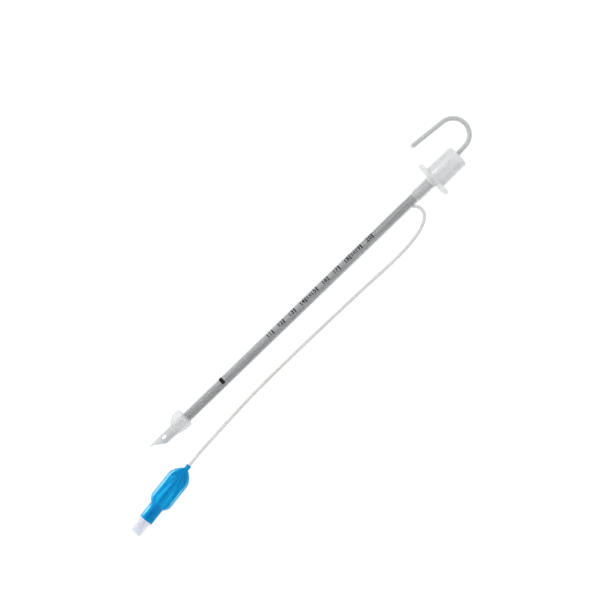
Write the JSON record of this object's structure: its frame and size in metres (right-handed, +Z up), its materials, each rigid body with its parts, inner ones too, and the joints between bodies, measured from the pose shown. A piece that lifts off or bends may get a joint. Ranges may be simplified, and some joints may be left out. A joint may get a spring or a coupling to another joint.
{
  "type": "endotracheal tube",
  "caption": "Wire-reinforced endotracheal tube with cuff, pilot balloon, breathing connector and a removable hooked stylet.",
  "frame": {"origin": "on the table, under the middle of the box round the tube, connector and stylet", "axes": "+X along the tube from its tip to the connector, +Y to the side the stylet's hook turns to, +Z up from the table"},
  "size_m": [0.3425, 0.0622, 0.016],
  "materials": {
    "reinforced_wall": "clear soft vinyl over a steel coil, which reads grey",
    "spring_wire": "drawn stainless wire",
    "clear_vinyl": "clear soft vinyl",
    "cuff_film": "thin clear film, creased",
    "milky_polypropylene": "natural moulded polypropylene",
    "stylet_sheath": "smooth clear plastic",
    "stylet_aluminium": "drawn soft aluminium",
    "line_vinyl": "clear soft vinyl",
    "blue_vinyl": "translucent blue vinyl",
    "valve_body": "clear moulded plastic",
    "valve_plunger": "white moulded plastic",
    "valve_rubber": "moulded rubber"
  },
  "bodies": {
    "tube": {"tube_shaft": "reinforced_wall", "wire_spiral": "spring_wire", "bevel_tip": "clear_vinyl", "cuff": "cuff_film", "connector": "milky_polypropylene", "inflation_line": "line_vinyl", "pilot_balloon": "blue_vinyl", "valve_housing": "valve_body", "valve_spring": "spring_wire"},
    "stylet": {"stylet_sheath": "stylet_sheath", "stylet_rod": "stylet_aluminium"},
    "plunger": {"valve_stem": "valve_plunger", "valve_seal": "valve_rubber"}
  },
  "joints": [
    {"name": "stylet_slide", "type": "slide", "parent": "tube", "child": "stylet", "axis": [1, 0, 0], "range_m": [0, 0.3]},
    {"name": "valve_press", "type": "slide", "parent": "tube", "child": "plunger", "axis": [0.9914, 0.1305, 0], "range_m": [0, 0.0025], "stiffness_N_per_m": 400, "springref_m": -0.0005, "deforming": ["valve_spring"]}
  ]
}
